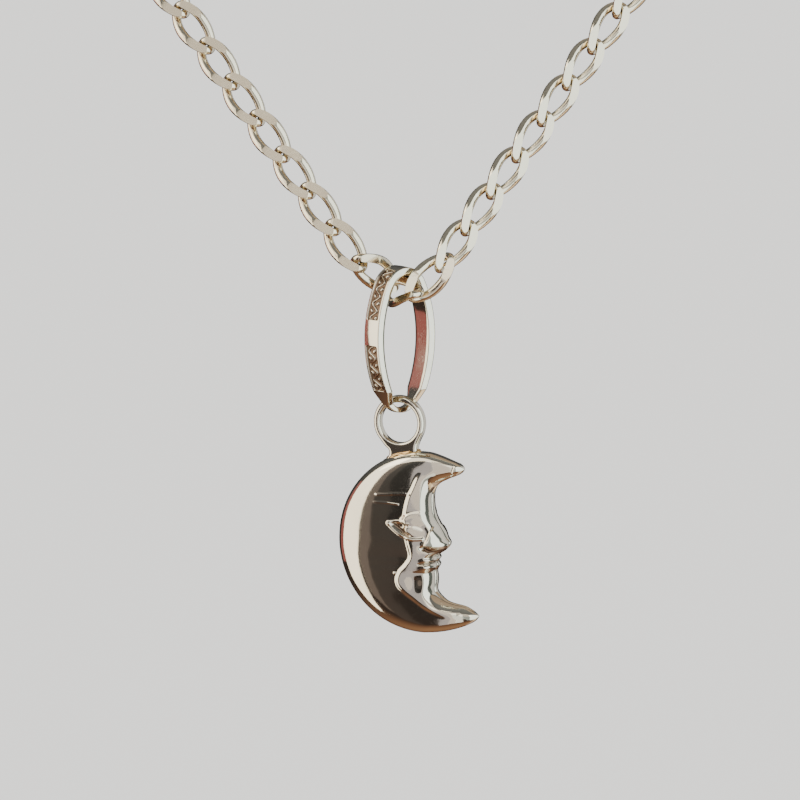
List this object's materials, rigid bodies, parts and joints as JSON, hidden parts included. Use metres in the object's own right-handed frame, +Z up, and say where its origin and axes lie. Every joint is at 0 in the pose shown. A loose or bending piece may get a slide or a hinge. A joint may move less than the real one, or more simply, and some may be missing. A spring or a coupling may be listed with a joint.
{
  "type": "moon necklace",
  "caption": "Necklace of open curb chain in pale yellow gold, with an oval bail and a puffed crescent moon charm that has a face in profile; whole loop with clasp.",
  "frame": {"origin": "middle of the nape, where the closed loop lies on the back of the neck", "axes": "+Z up, -Y towards the front of the wearer, +X to the viewer's right in the front view"},
  "size_m": [0.1154, 0.1066, 0.1414],
  "materials": {
    "chain_gold": "polished pale yellow gold, filed flat on the chain's two faces, with fine wear scratches",
    "charm_gold": "highly polished pale yellow gold, with fine scratches and darker joints"
  },
  "bodies": {
    "root": {"chain": "chain_gold", "clasp": "chain_gold", "end_ring": "chain_gold"},
    "bail": {"bail": "charm_gold"},
    "moon": {"moon": "charm_gold"}
  },
  "joints": [
    {"name": "bail_swing", "type": "hinge", "parent": "root", "child": "bail", "pos_m": [0, -0.10153, -0.11683], "axis": [0.6018, -0.7986, 0], "range_deg": [-30, 30]},
    {"name": "moon_swing", "type": "hinge", "parent": "bail", "child": "moon", "pos_m": [0, -0.10153, -0.12554], "axis": [-0.4067, -0.9135, 0], "range_deg": [-45, 45]}
  ]
}
